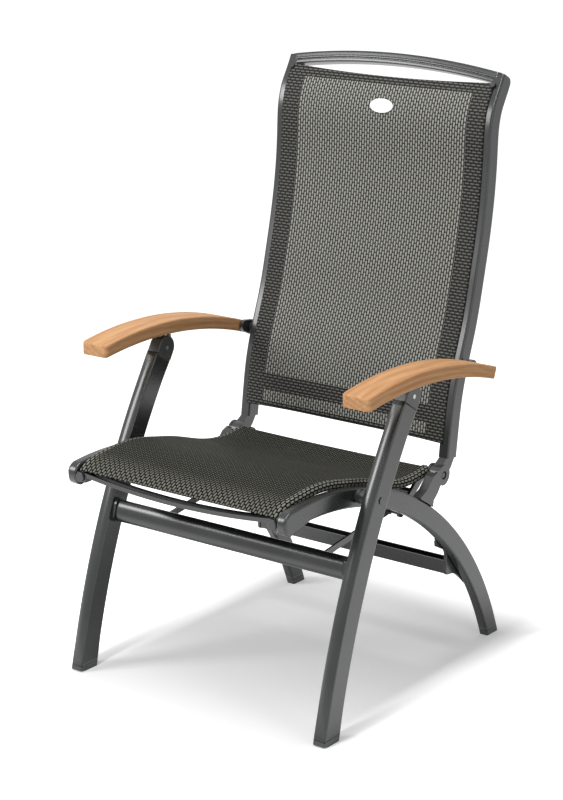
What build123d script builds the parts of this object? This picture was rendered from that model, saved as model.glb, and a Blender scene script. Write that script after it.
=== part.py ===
"""Folding garden chair with an adjustable back, built from separate pieces.

Millimetres, +Z up, the sitter faces -Y, the floor is at z = 0.
Side-view points are (y, z) pairs. The side of the sitter's left hand is +X.
"""
from build123d import *
import os
from math import atan2, cos, degrees, radians, sin, sqrt

os.makedirs("parts", exist_ok=True)

# Shared fits
wall = 2.0              # wall of every drawn tube
plate = 2.5             # thickness of bent sheet
shaft_gap = 0.05        # radial gap of a shaft that turns in its hole
side_gap = 0.3          # gap between faces that slide past each other
slip_gap = 0.2          # gap of an insert in its tube or recess
overrun = 2.0           # how far every cut runs past the material

# Pivots in side view
back_pivot = (139.0, 378.0)
leg_pivot = (-137.0, 412.0)
arm_pivot = (208.0, 573.0)
leg_top = (-37.0, 579.0)
strap_front = (-163.0, 287.4)
strap_rear = (62.0, 317.1)

# Widths of the pieces on one side, and the steps between them
arch_width = 20.0
leg_width = 26.0
leg_space = 23.0        # between an arch and its front leg
fork_step_in = 6.0      # from an arch's inner face to its bracket's
fork_step_out = 2.0     # from an arch's outer face to its bracket's
rail_step_in = 2.0      # from a bracket's inner face to the back rail's
rail_step_out = 4.0     # from a bracket's outer face to the back rail's
cheek = 5.0
arm_step_in = 5.0       # from a front leg's inner face to the armrest's
arm_step_out = 30.0     # from a front leg's outer face to the armrest's
lever_thickness = 6.0
lever_space = 20.0      # between a bracket and the fold lever
strap_space = 23.0      # between the fold lever and the strap's inner face

# Where their faces are, measured from the middle of the chair
arch_inner = 227.0
arch_outer = arch_inner + arch_width
leg_inner = arch_outer + leg_space
leg_outer = leg_inner + leg_width
leg_middle = (leg_inner + leg_outer) / 2
clevis_inner = arch_inner - fork_step_in
clevis_outer = arch_outer + fork_step_out
rail_inner = clevis_inner + rail_step_in
rail_outer = clevis_outer - rail_step_out
arm_inner = leg_inner - arm_step_in
arm_outer = leg_outer + arm_step_out
lever_inner = clevis_inner - lever_space
strap_inner = lever_inner - strap_space

# Rear leg arch: circles are (centre y, centre z, radius)
arch_top_circle = (-262.0, -213.0, 651.0)
arch_low_circle = (-271.0, -222.0, 626.0)
arch_front = -353.2
arch_nose_height = 409.0
arch_nose_back = -334.0
arch_nose_low = 390.0
arch_low_start = -279.0
arch_edge_round = 4.0
foot_height = 10.0
foot_plug = 16.0

# Front leg
leg_foot = (-281.5, -2.0)
leg_knee = (-164.5, 353.0)
leg_depth = 46.0
leg_edge_round = 3.0
cap_joint = 18.0        # from the top pivot down to the cap's joint line
cap_plug = 14.0
cap_slot = 5.6
cap_slot_depth = 14.0
cap_slot_floor = 15.5   # below the top pivot, where the slot runs out to the rear

# Cross members
tube_middle = (-192.0, 295.0)
tube_tall = 42.0
tube_deep = 24.0
tube_round = 11.0
collar_width = 7.0
collar_rim = 2.0
channel_front = 190.0
channel_deep = 26.0
channel_low = 162.0
channel_tall = 26.0
gusset_thickness = 6.0
gusset_outline = ((152.0, 240.0), (154.0, 228.0), (183.0, 213.0), (190.0, 203.0), (190.0, 188.0),
                  (208.0, 188.0), (200.0, 215.0))
bow_step = 13.0         # from an arch's inner face to the end of the bow's strip
bow_front = -349.0
bow_deep = 20.0
bow_lip = 8.0
bow_half_span = arch_inner - bow_step
bow_end_height = 413.0
bow_middle_height = 399.0
bow_plate_wide = 21.0
bow_plate_inner = arch_inner - bow_plate_wide
bow_plate_low = 402.0
bow_plate_high = 420.0
bow_plate_deep = 16.0
bow_plate_back = bow_front + bow_plate_deep

# Seat rail and seat sling
seat_rail_line = ((-342.0, 416.5), (-324.0, 428.5), (-287.0, 436.5), (-241.0, 440.5), (-194.0, 438.5),
                  (-137.0, 427.5), (-87.0, 416.0), (0.0, 389.5), (60.0, 380.5), (124.0, 385.0))
seat_rail_step = 9.4    # from an arch's inner face to the middle of the seat rail
seat_rail_middle = arch_inner - seat_rail_step
seat_rail_radius = 7.5
cloth = 1.0
sleeve_gap = 0.15
knob_radius = 9.2
knob_length = 4.2
knob_edge_round = 1.4
knob_height = 412.0
seat_lug = (126.0, 385.0)
seat_lug_radius = 8.0
seat_screw_radius = 2.5

# Hinge bracket on the arch
ear_radius = 19.5
neck_outline = ((56.0, 340.0), (62.0, 354.5), (82.0, 363.0), (103.0, 384.0), (118.0, 390.0), (139.0, 378.0),
                (128.0, 361.0), (119.0, 349.0), (106.0, 338.0), (102.0, 318.0))
slot_radius = 27.0
relief_back = 112.0     # in front of this y the bracket stands clear of the seat's sleeve
relief_wide = 10.0      # between the bracket's inner face and its front part
counterbore_radius = 8.0
counterbore_depth = 3.0

# Back rest
knuckle_radius = 18.5
knuckle_web = ((122.0, 384.0), (158.0, 406.0), (176.0, 420.0), (186.0, 405.0), (172.5, 385.5),
               (154.0, 368.0))
knuckle_plug_high = 430.0
rail_line = ((156.5, 405.0), (160.5, 434.0), (173.0, 514.0), (196.0, 591.0), (217.0, 648.0),
             (238.0, 725.0), (256.5, 803.0), (270.0, 881.0), (276.5, 959.0), (281.0, 1017.0),
             (294.0, 1055.0), (320.5, 1098.0))
rail_depth = 32.0
rail_round = 6.0
rail_mouth = 405.0
groove_step = 6.0       # from a rail's inner face to the middle of its groove
groove_middle = rail_inner + groove_step
groove_width = 5.4
groove_depth = 5.0
rail_cavity_start = 8.0
top_bar_step = 12.5     # from a rail's top point back to the middle of the bar
top_bar_drop = 8.5      # from a rail's top point down to the bar's end
top_bar_rise = 20.0     # from the bar's ends up to its middle
top_bar_deep = 30.0
top_bar_tall = 22.0
top_bar_round = 7.0
top_bar_lean = 20.0
low_bar_middle = (177.5, 437.0)
low_bar_deep = 24.0
low_bar_tall = 15.0
low_bar_round = 6.5
sling_low = 431.0
sling_drop = 14.0       # from a rail's top point down to the sling's upper edge
sling_high = rail_line[-1][1] - sling_drop
sling_lip = 2.0         # cloth outside the groove
sling_half = groove_middle + sling_lip
sling_proud = 1.5
bead_radius = 2.2
badge_drop = 56.0       # from the sling's upper edge
badge_height = sling_high - badge_drop
badge_wide = 52.0
badge_tall = 27.0
badge_thickness = 0.8
corner_plug_radius = 5.0
corner_plug_length = 4.0
corner_plug_drop = 1.0  # from the sling's upper edge
corner_plug_height = sling_high - corner_plug_drop

# Fold yoke and link straps
lever_radius = 12.0
lever_eye_radius = 9.0
lever_taper = 8.0
yoke_bar_share = 0.5
yoke_bar_radius = 6.0
stub_radius = 5.0
strap_tall = 12.0
strap_thick = 4.0
strap_eye_radius = 8.0
lug_thickness = 4.0
strap_pin_radius = 3.0
pin_head_radius = 5.5
pin_head_length = 2.5

# Bolts
pivot_bolt_radius = 4.0
bolt_head_radius = 6.5
small_head_radius = 5.0
bolt_head_length = 3.0
flat_head_length = 1.2
spacer_radius = 13.5
spacer_ridge = 1.0
spacer_ridge_width = 4.0

# Armrests
arm_top_circle = (-74.0, -191.0, 824.0)
arm_low_circle = (-80.0, -279.0, 886.0)
arm_front = -218.0
arm_rear_low = 187.0
arm_rear_top = 195.0
arm_corner_round = 8.0
arm_edge_round = 4.0
track_front = -142.0
track_back = 48.0
track_width = 18.0
track_inner = leg_middle - track_width / 2
track_outer = leg_middle + track_width / 2
track_depth = 14.0
track_wall = 1.5
notch_pitch = 17.0
notch_count = 7
ridge_radius = 2.0
notch_pin_rise = 33.2
notch_pin_radius = 3.0
slide_thickness = 5.0
slide_low_radius = 8.0
slide_top_radius = 4.5
slide_tab = (-17.0, 596.5)
slide_tab_radius = 4.5
arm_block_step = 2.0    # from the armrest's inner face to the bracket block's outer face
arm_block_outer = arm_inner - arm_block_step
arm_block_radius = 15.0
arm_block_reach = (191.0, 578.0)
arm_block_reach_radius = 12.0
hinge_block_radius = 17.0
hinge_block_thickness = 10.0
flange_thickness = 4.0
flange_step = 26.0      # from the armrest's outer face to the flange's end
flange_outer = arm_outer - flange_step
arm_pin_radius = 5.0
wood_screw_radius = 2.0
wood_screw_length = 18.0
wood_screw_step = 8.0   # from the middle of the leg below to each screw
wood_screw_places = (leg_middle - wood_screw_step, leg_middle + wood_screw_step)
screw_head_radius = 4.0
screw_head_length = 2.0


def side_plane(x):
    """Plane whose first axis is y and second is z, at one x."""
    return Plane(origin=(x, 0, 0), x_dir=(0, 1, 0), z_dir=(1, 0, 0))


def slab(face, x_start, x_end):
    """Side-view face stood between two x positions."""
    return extrude(side_plane(x_start) * face, amount=x_end - x_start, dir=(1, 0, 0))


def rod(point, radius, x_start, x_end):
    """Round bar along x through a side-view point."""
    return slab(Pos(point[0], point[1]) * Circle(radius), x_start, x_end)


def tube(point, radius, bore, x_start, x_end):
    """Round bar along x with a hole through it."""
    return rod(point, radius, x_start, x_end) - rod(point, bore, x_start - overrun, x_end + overrun)


def polygon(points):
    """Face with straight sides."""
    return make_face(Polyline(*points, close=True))


def at_y(circle, y):
    """Upper point of a circle at one y."""
    centre_y, centre_z, radius = circle
    return (y, centre_z + sqrt(radius**2 - (y - centre_y)**2))


def at_z(circle, z, way):
    """Point of a circle at one height, on its rear side for way 1 or its front side for way -1."""
    centre_y, centre_z, radius = circle
    return (centre_y + way * sqrt(radius**2 - (z - centre_z)**2), z)


def grown(circle, amount):
    """Circle with the same centre and a larger radius."""
    return (circle[0], circle[1], circle[2] + amount)


def middle(one, two):
    """Point halfway between two others."""
    return ((one[0] + two[0]) / 2, (one[1] + two[1]) / 2)


def bar_face(start, end, start_radius, end_radius):
    """Flat bar outline with a round eye at each end."""
    run = (end[0] - start[0], end[1] - start[1])
    length = sqrt(run[0]**2 + run[1]**2)
    side = (-run[1] / length, run[0] / length)
    corners = ((start[0] + side[0] * start_radius, start[1] + side[1] * start_radius),
               (end[0] + side[0] * end_radius, end[1] + side[1] * end_radius),
               (end[0] - side[0] * end_radius, end[1] - side[1] * end_radius),
               (start[0] - side[0] * start_radius, start[1] - side[1] * start_radius))
    eyes = Pos(start[0], start[1]) * Circle(start_radius) + Pos(end[0], end[1]) * Circle(end_radius)
    return polygon(corners) + eyes


def section_plane(line):
    """Plane square to a line at its start, with its first axis along x."""
    return Plane(origin=line @ 0, x_dir=(1, 0, 0), z_dir=line % 0)


def along(face, line):
    """Face carried along a line."""
    return sweep(section_plane(line) * face, path=line)


def side_line(points):
    """Smooth line through side-view points, in the middle plane."""
    return Spline(*[(0, y, z) for y, z in points])


def between_heights(shape, low, high):
    """Stretch of a shape between two heights."""
    block = Pos(0, 0, (low + high) / 2) * Box(4 * leg_outer, 4 * leg_outer, high - low)
    return shape & block


def one_solid(shape):
    """The single solid inside a result."""
    return shape.solids().sort_by(SortBy.VOLUME)[-1]


def group(shapes):
    """Separate solids kept together as one piece."""
    return Compound(children=[one_solid(shape) for shape in shapes])


def save(name, shape):
    """Write one piece."""
    export_step(shape, os.path.join("parts", name + ".step"))


def save_pair(name, shape):
    """Write a piece of the left-hand side and its mirror image."""
    solid = one_solid(shape)
    save(name + "_left", solid)
    save(name + "_right", mirror(solid, about=Plane.YZ))


def save_both(name, shapes):
    """Write identical pieces of both sides as one group."""
    left = [one_solid(shape) for shape in shapes]
    save(name, group(left + [mirror(solid, about=Plane.YZ) for solid in left]))


def arch_face(inset):
    """Rear leg arch in side view, drawn in by an inset."""
    top = grown(arch_top_circle, -inset)
    low = grown(arch_low_circle, inset)
    nose = (arch_front + inset, arch_nose_height)
    top_start = at_y(top, arch_nose_back)
    top_end = at_z(top, -overrun, 1)
    low_start = at_z(low, -overrun, 1)
    low_end = at_y(low, arch_low_start)
    nose_low = (arch_nose_back, arch_nose_low + inset)
    outline = [ThreePointArc(top_start, at_y(top, (top_start[0] + top_end[0]) / 3), top_end),
               Line(top_end, low_start),
               ThreePointArc(low_start, at_y(low, (low_start[0] + low_end[0]) / 3), low_end),
               Line(low_end, nose_low),
               ThreePointArc(nose_low, nose, top_start)]
    return make_face(outline)


def leg_line():
    """Middle line of a front leg, from just under the floor to its top pivot."""
    foot, knee, top = [(0, y, z) for y, z in (leg_foot, leg_knee, leg_top)]
    return ThreePointArc(foot, knee, top)


def leg_bar(inset):
    """Front leg as a bent bar, drawn in by an inset."""
    face = RectangleRounded(leg_width - 2 * inset, leg_depth - 2 * inset, leg_edge_round - inset)
    return Pos(leg_middle, 0, 0) * along(face, leg_line())


def cap_bar(inset):
    """Round top of a front leg as a straight slab with soft edges, drawn in by an inset."""
    radius = leg_depth / 2 - inset
    along_y, along_z = leg_axis()
    crown = (leg_top[0] + along_y * radius, leg_top[1] + along_z * radius)
    front = (leg_top[0] - along_z * radius, leg_top[1] + along_y * radius)
    rear = (leg_top[0] + along_z * radius, leg_top[1] - along_y * radius)
    drop = cap_joint + cap_plug + leg_depth
    front_low = (front[0] - along_y * drop, front[1] - along_z * drop)
    rear_low = (rear[0] - along_y * drop, rear[1] - along_z * drop)
    outline = [Line(front_low, front), ThreePointArc(front, crown, rear), Line(rear, rear_low),
               Line(rear_low, front_low)]
    body = slab(make_face(outline), leg_inner + inset, leg_outer - inset)
    return soften(body, leg_edge_round - inset)


def leg_axis():
    """Direction of the front leg at its top."""
    run = (leg_top[0] - leg_pivot[0], leg_top[1] - leg_pivot[1])
    length = sqrt(run[0]**2 + run[1]**2)
    return (run[0] / length, run[1] / length)


def cap_slot_rear():
    """Side view of the cap's slot where it is open to the rear, for the plate of a folded chair."""
    along_y, along_z = leg_axis()
    corners = ((-cap_slot_floor, 0), (-cap_slot_floor, leg_depth), (leg_depth, leg_depth), (leg_depth, 0))
    return polygon([(leg_top[0] + up * along_y + back * along_z, leg_top[1] + up * along_z - back * along_y)
                    for up, back in corners])


def cap_plane(distance):
    """Plane square to the front leg, below its top pivot."""
    across = leg_axis()
    start = (0, leg_top[0] - across[0] * distance, leg_top[1] - across[1] * distance)
    return Plane(origin=start, x_dir=(1, 0, 0), z_dir=(0, across[0], across[1]))


def soften(shape, radius):
    """Round the outline edges of a slab on both of its sides."""
    sides = shape.faces().sort_by(Axis.X)
    return fillet(sides[0].edges() + sides[-1].edges(), radius)


def rear_legs():
    """Arches that are rear leg and seat side in one, with their feet."""
    solid_body = soften(slab(arch_face(0), arch_inner, arch_outer), arch_edge_round)
    hollow = slab(arch_face(wall), arch_inner + wall, arch_outer - wall)
    body = solid_body - hollow
    leg = between_heights(body, foot_height, arch_top_circle[2])
    leg = leg - rod(leg_pivot, pivot_bolt_radius + shaft_gap, arch_inner - overrun, arch_outer + overrun)
    save_pair("rear_leg_arch", leg)
    pad = between_heights(solid_body, 0, foot_height)
    inset = wall + slip_gap
    core = slab(arch_face(inset), arch_inner + inset, arch_outer - inset)
    plug = between_heights(core, foot_height - overrun, foot_height + foot_plug)
    save_both("rear_feet", [pad + plug])


def rear_channel():
    """Open-topped cross channel between the rear legs with its corner gussets."""
    outer = Rectangle(channel_deep, channel_tall, align=(Align.MIN, Align.MIN))
    inner = Rectangle(channel_deep - 2 * plate, channel_tall, align=(Align.MIN, Align.MIN))
    face = Pos(channel_front, channel_low) * (outer - Pos(plate, plate) * inner)
    channel = slab(face, -arch_inner, arch_inner)
    gusset = slab(polygon(gusset_outline), arch_inner - gusset_thickness, arch_inner)
    save("rear_cross_channel", one_solid(channel + gusset + mirror(gusset, about=Plane.YZ)))


def bow_band(low_offset, high_offset, y_start, y_end):
    """Strip of the front bow between two heights above its underside."""
    front_plane = Plane(origin=(0, y_start, 0), x_dir=(1, 0, 0), z_dir=(0, -1, 0))
    left_low = (bow_half_span, bow_end_height + low_offset)
    right_low = (-bow_half_span, bow_end_height + low_offset)
    left_high = (bow_half_span, bow_end_height + high_offset)
    right_high = (-bow_half_span, bow_end_height + high_offset)
    outline = [ThreePointArc(right_low, (0, bow_middle_height + low_offset), left_low),
               Line(left_low, left_high),
               ThreePointArc(left_high, (0, bow_middle_height + high_offset), right_high),
               Line(right_high, right_low)]
    return extrude(front_plane * make_face(outline), amount=y_end - y_start, dir=(0, 1, 0))


def front_bow():
    """Upward-open cross channel under the front edge of the seat."""
    back = bow_front + bow_deep
    bow = bow_band(0, plate, bow_front, back)
    bow = bow + bow_band(0, bow_lip, bow_front, bow_front + plate)
    bow = bow + bow_band(0, bow_lip, back - plate, back)
    end = Pos((bow_plate_inner + arch_inner) / 2, (bow_front + bow_plate_back) / 2,
              (bow_plate_low + bow_plate_high) / 2)
    tab = end * Box(bow_plate_wide, bow_plate_deep, bow_plate_high - bow_plate_low)
    bow = bow + tab + mirror(tab, about=Plane.YZ)
    save("seat_front_bow", one_solid(bow - sleeve_room()))


def sleeve_room():
    """Space on both sides taken by the seat rails with the sling's sleeves round them."""
    radius = seat_rail_radius + sleeve_gap + cloth + side_gap
    room = Pos(seat_rail_middle, 0, 0) * along(Circle(radius), side_line(seat_rail_line))
    return room + mirror(room, about=Plane.YZ)


def seat_rails():
    """Bent tubes that carry the seat sling, with their rear lugs and front knobs."""
    line = side_line(seat_rail_line)
    tube_body = along(Circle(seat_rail_radius), line) - along(Circle(seat_rail_radius - wall), line)
    tube_body = Pos(seat_rail_middle, 0, 0) * tube_body
    lug = rod(seat_lug, seat_lug_radius, seat_rail_middle - seat_rail_radius, clevis_inner)
    screw_hole = rod(seat_lug, seat_screw_radius, seat_rail_middle - 2 * seat_rail_radius, arch_outer)
    save_pair("seat_rail", tube_body + lug - screw_hole)
    knob_plane = Plane(origin=(seat_rail_middle, bow_front, knob_height), z_dir=(0, -1, 0))
    knob = extrude(knob_plane * Circle(knob_radius), amount=knob_length)
    knob = fillet(knob.faces().sort_by(Axis.Y)[0].edges(), knob_edge_round)
    save_both("seat_rail_knobs", [knob])
    head_start = seat_rail_middle - seat_rail_radius - screw_head_length
    screw = rod(seat_lug, screw_head_radius, head_start, head_start + screw_head_length)
    screw = screw + rod(seat_lug, seat_screw_radius, head_start, clevis_inner + cheek)
    save_both("seat_rail_screws", [screw])


def seat_sling():
    """Cloth seat with a sleeve round each seat rail."""
    line = side_line(seat_rail_line)
    inner = seat_rail_radius + sleeve_gap
    outer = inner + cloth
    sheet = along(Pos(0, -(inner + cloth / 2)) * Rectangle(2 * seat_rail_middle, cloth), line)
    sleeve = Pos(seat_rail_middle, 0, 0) * along(Circle(outer), line)
    bore = Pos(seat_rail_middle, 0, 0) * along(Circle(inner), line)
    body = sheet + sleeve + mirror(sleeve, about=Plane.YZ)
    body = body - bore - mirror(bore, about=Plane.YZ)
    lug = rod(seat_lug, seat_lug_radius + side_gap, seat_rail_middle - outer - overrun, arch_inner)
    save("seat_sling", one_solid(body - lug - mirror(lug, about=Plane.YZ)))


def hinge_brackets():
    """Forked brackets on the arches that hold the back pivots."""
    face = polygon(neck_outline) + Pos(back_pivot[0], back_pivot[1]) * Circle(ear_radius)
    body = slab(face, clevis_inner, clevis_outer)
    slot = rod(back_pivot, slot_radius, clevis_inner + cheek, clevis_outer - cheek)
    body = body - slot
    relief = Box(clevis_inner + relief_wide, 2 * relief_back, 2 * back_pivot[1],
                 align=(Align.MIN, Align.MAX, Align.MIN))
    body = body - Pos(0, relief_back, 0) * relief
    body = body - slab(arch_face(0), 0, arm_inner)
    body = body - rod(back_pivot, pivot_bolt_radius + shaft_gap, 0, arm_inner)
    body = body - rod(back_pivot, counterbore_radius, clevis_outer - counterbore_depth, arm_inner)
    body = body - rod(seat_lug, seat_screw_radius, 0, clevis_inner + cheek + overrun)
    save_pair("hinge_bracket", body - sleeve_room())


def leg_pivots():
    """Bolts and ridged spacers that join front legs and arches."""
    bolt = rod(leg_pivot, pivot_bolt_radius, arch_inner - bolt_head_length, leg_outer)
    bolt = bolt + rod(leg_pivot, small_head_radius, arch_inner - bolt_head_length, arch_inner)
    head_start = leg_outer + side_gap
    bolt = bolt + rod(leg_pivot, bolt_head_radius, head_start, head_start + flat_head_length)
    bolt = bolt + rod(leg_pivot, pivot_bolt_radius, leg_outer, leg_outer + flat_head_length)
    save_both("leg_pivot_bolts", [bolt])
    spacer = rod(leg_pivot, spacer_radius - spacer_ridge, arch_outer, leg_inner - side_gap)
    ridge_at = arch_outer + spacer_ridge_width
    for start in (ridge_at, leg_inner - side_gap - 2 * spacer_ridge_width):
        spacer = spacer + rod(leg_pivot, spacer_radius, start, start + spacer_ridge_width)
    bore = rod(leg_pivot, pivot_bolt_radius + shaft_gap, arch_inner, leg_outer)
    save_both("leg_pivot_spacers", [spacer - bore])


def front_legs():
    """Front legs with their feet and slotted top caps."""
    bar = leg_bar(0)
    pivot_hole = rod(leg_pivot, pivot_bolt_radius + shaft_gap, leg_inner - overrun, leg_outer + overrun)
    stem = split(bar - leg_bar(wall), bisect_by=cap_plane(cap_joint), keep=Keep.BOTTOM)
    stem = between_heights(stem, foot_height, arch_top_circle[2]) - pivot_hole
    save_pair("front_leg", stem)
    cap = split(cap_bar(0), bisect_by=cap_plane(cap_joint), keep=Keep.TOP)
    plug = split(leg_bar(wall + slip_gap), bisect_by=cap_plane(cap_joint - overrun), keep=Keep.BOTTOM)
    plug = split(plug, bisect_by=cap_plane(cap_joint + cap_plug), keep=Keep.TOP)
    slot_start = leg_middle - cap_slot / 2
    slot_end = leg_middle + cap_slot / 2
    slot = rod(leg_top, cap_slot_depth, slot_start, slot_end)
    above = Box(cap_slot, 2 * leg_depth, leg_depth, align=(Align.CENTER, Align.MIN, Align.MIN))
    above = Pos(leg_middle, leg_top[0] - cap_slot_depth, leg_top[1]) * above
    behind = slab(cap_slot_rear(), slot_start, slot_end)
    pin_hole = rod(leg_top, pivot_bolt_radius, leg_inner - overrun, leg_outer + overrun)
    save_pair("leg_top_cap", cap + plug - slot - above - behind - pin_hole)
    pad = between_heights(bar, 0, foot_height)
    foot_plug_body = between_heights(leg_bar(wall + slip_gap), foot_height - overrun, foot_height + foot_plug)
    save_both("front_feet", [pad + foot_plug_body])
    pin = rod(leg_top, pivot_bolt_radius, leg_inner, leg_outer)
    save_both("leg_top_pins", [pin])


def cross_tube():
    """Oval cross tube between the front legs with end collars and strap lugs."""
    lean = -degrees(atan2(leg_axis()[0], leg_axis()[1])) / 2
    outer = RectangleRounded(tube_deep, tube_tall, tube_round)
    inner = RectangleRounded(tube_deep - 2 * wall, tube_tall - 2 * wall, tube_round - wall)
    place = Pos(tube_middle[0], tube_middle[1]) * Rot(0, 0, lean)
    body = slab(place * outer, -leg_inner, leg_inner)
    body = body - slab(place * inner, -leg_inner - overrun, leg_inner + overrun)
    rim = RectangleRounded(tube_deep + 2 * collar_rim, tube_tall + 2 * collar_rim, tube_round + collar_rim)
    collar = slab(place * rim, leg_inner - collar_width, leg_inner)
    collar = collar - slab(place * outer, 0, leg_inner + overrun)
    save("front_cross_tube", one_solid(body))
    save_both("tube_collars", [collar])
    lug_face = bar_face(tube_middle, strap_front, tube_deep / 2, strap_eye_radius)
    lug_start = strap_inner - side_gap - lug_thickness
    lug = slab(lug_face, lug_start, strap_inner - side_gap) - slab(place * outer, 0, leg_inner)
    lug = lug - rod(strap_front, strap_pin_radius, 0, leg_inner)
    save_both("strap_lugs", [lug])
    pin = rod(strap_front, strap_pin_radius, lug_start, strap_inner + strap_thick + side_gap)
    head_start = strap_inner + strap_thick + side_gap
    pin = pin + rod(strap_front, pin_head_radius, head_start, head_start + pin_head_length)
    pin = pin + rod(strap_front, pin_head_radius, lug_start - pin_head_length, lug_start)
    save_both("strap_front_pins", [pin])


def straps():
    """Flat link straps and the short bolts in their rear eyes."""
    face = bar_face(strap_front, strap_rear, strap_tall / 2, strap_tall / 2)
    face = face + Pos(strap_front[0], strap_front[1]) * Circle(strap_eye_radius)
    face = face + Pos(strap_rear[0], strap_rear[1]) * Circle(strap_eye_radius)
    body = slab(face, strap_inner, strap_inner + strap_thick)
    body = body - rod(strap_front, strap_pin_radius + shaft_gap, 0, leg_inner)
    body = body - rod(strap_rear, strap_pin_radius, 0, leg_inner)
    save_pair("link_strap", body)
    bolt = rod(strap_rear, strap_pin_radius, strap_inner - pin_head_length, strap_inner + strap_thick)
    bolt = bolt + rod(strap_rear, pin_head_radius, strap_inner - pin_head_length, strap_inner)
    save_pair("strap_rear_bolt", bolt)


def yoke_bar_point():
    """Where the yoke's cross bar meets its levers."""
    share = yoke_bar_share
    return (back_pivot[0] + share * (strap_rear[0] - back_pivot[0]),
            back_pivot[1] + share * (strap_rear[1] - back_pivot[1]))


def fold_yoke():
    """Two levers, the bar between them and the bolts they share with the back."""
    lever_end = lever_inner + lever_thickness
    face = bar_face(back_pivot, strap_rear, lever_taper, lever_taper)
    face = face + Pos(back_pivot[0], back_pivot[1]) * Circle(lever_radius)
    face = face + Pos(strap_rear[0], strap_rear[1]) * Circle(lever_eye_radius)
    lever = slab(face, lever_inner, lever_end) - rod(back_pivot, pivot_bolt_radius, 0, leg_inner)
    stub = rod(strap_rear, stub_radius, strap_inner + strap_thick + side_gap, lever_inner)
    save_pair("yoke_lever", lever + stub)
    save("yoke_bar", one_solid(rod(yoke_bar_point(), yoke_bar_radius, -lever_inner, lever_inner)))
    head_start = clevis_outer - counterbore_depth + side_gap
    bolt = rod(back_pivot, pivot_bolt_radius, lever_inner - bolt_head_length, head_start)
    bolt = bolt + rod(back_pivot, bolt_head_radius, lever_inner - bolt_head_length, lever_inner)
    bolt = bolt + rod(back_pivot, small_head_radius, head_start, clevis_outer - flat_head_length)
    save_both("back_pivot_bolts", [bolt])


def rail_solid():
    """One back rail with its keyed groove, before its ends are cut."""
    line = side_line(rail_line)
    rail_middle = (rail_inner + rail_outer) / 2
    width = rail_outer - rail_inner
    outer = Pos(rail_middle, rail_depth / 2) * RectangleRounded(width, rail_depth, rail_round)
    cavity_deep = rail_depth - rail_cavity_start - wall
    cavity_place = Pos(rail_middle, rail_cavity_start + cavity_deep / 2)
    cavity = cavity_place * Rectangle(width - 2 * wall, cavity_deep)
    groove_place = Pos(groove_middle, (groove_depth - overrun) / 2)
    groove = groove_place * Rectangle(groove_width, groove_depth + overrun)
    return along(outer, line) - along(cavity, line) - along(groove, line)


def top_bar_end():
    """Middle of the top bar's end, in side view."""
    top = rail_line[-1]
    return (top[0] + top_bar_step, top[1] - top_bar_drop)


def top_bar_run(inset):
    """Arched bar over both rails and a little past them, drawn in by an inset."""
    end_y, end_height = top_bar_end()
    ends = [(way * (rail_outer + overrun), end_y, end_height) for way in (-1, 1)]
    line = ThreePointArc(ends[0], (0, end_y, end_height + top_bar_rise), ends[1])
    lean = radians(top_bar_lean)
    place = Plane(origin=line @ 0, x_dir=(0, cos(lean), -sin(lean)), z_dir=line % 0)
    face = RectangleRounded(top_bar_deep - 2 * inset, top_bar_tall - 2 * inset, top_bar_round - inset)
    return sweep(place * face, path=line)


def top_bar_solid(inset):
    """Top bar between the rails' outer faces, drawn in by an inset."""
    height = top_bar_end()[1]
    span = Pos(0, 0, height) * Box(2 * (rail_outer - inset), height, height)
    return top_bar_run(inset) & span


def back_frame():
    """Back rails, knuckles, top bar and lower bar."""
    save("back_top_bar", one_solid(top_bar_solid(0) - top_bar_solid(wall)))
    rail = between_heights(rail_solid(), rail_mouth, 2 * arch_top_circle[2]) - top_bar_run(0)
    pin_bore = rod(arm_pivot, arm_pin_radius + shaft_gap, rail_inner - overrun, rail_outer + overrun)
    save_pair("back_rail", rail - pin_bore)
    hub = rod(back_pivot, knuckle_radius, clevis_inner + cheek + side_gap, clevis_outer - cheek - side_gap)
    web_start = clevis_inner + cheek + side_gap
    web_end = rail_outer - wall - slip_gap
    web = slab(polygon(knuckle_web), web_start, web_end)
    web = between_heights(web, 0, rail_mouth)
    line = side_line(rail_line)
    plug_deep = rail_depth - rail_cavity_start - wall - 2 * slip_gap
    plug_middle = (web_start + web_end) / 2
    plug_place = Pos(plug_middle, rail_cavity_start + slip_gap + plug_deep / 2)
    plug = along(plug_place * Rectangle(web_end - web_start, plug_deep), line)
    plug = between_heights(plug, rail_mouth - overrun, knuckle_plug_high)
    knuckle = hub + web + plug - rod(back_pivot, pivot_bolt_radius + shaft_gap, 0, leg_inner)
    save_pair("back_knuckle", knuckle)
    outer = RectangleRounded(low_bar_deep, low_bar_tall, low_bar_round)
    inner = RectangleRounded(low_bar_deep - 2 * wall, low_bar_tall - 2 * wall, low_bar_round - wall)
    place = Pos(low_bar_middle[0], low_bar_middle[1])
    low_bar = slab(place * outer, -rail_inner, rail_inner) - slab(place * inner, -leg_inner, leg_inner)
    save("back_lower_bar", one_solid(low_bar))


def back_sling():
    """Cloth of the back, its edges keyed into the rails, and the bare oval plate on it."""
    line = side_line(rail_line)
    sheet = along(Pos(0, -(sling_proud - cloth / 2)) * Rectangle(2 * sling_half, cloth), line)
    root = groove_middle
    neck_height = sling_proud + bead_radius
    neck = along(Pos(root, neck_height / 2 - sling_proud + cloth / 2) * Rectangle(cloth, neck_height), line)
    bead = along(Pos(root, bead_radius) * Circle(bead_radius), line)
    edge = neck + bead
    body = between_heights(sheet + edge + mirror(edge, about=Plane.YZ), sling_low, sling_high)
    room = corner_plug(side_gap)
    save("back_sling", one_solid(body - room - mirror(room, about=Plane.YZ)))


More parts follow.
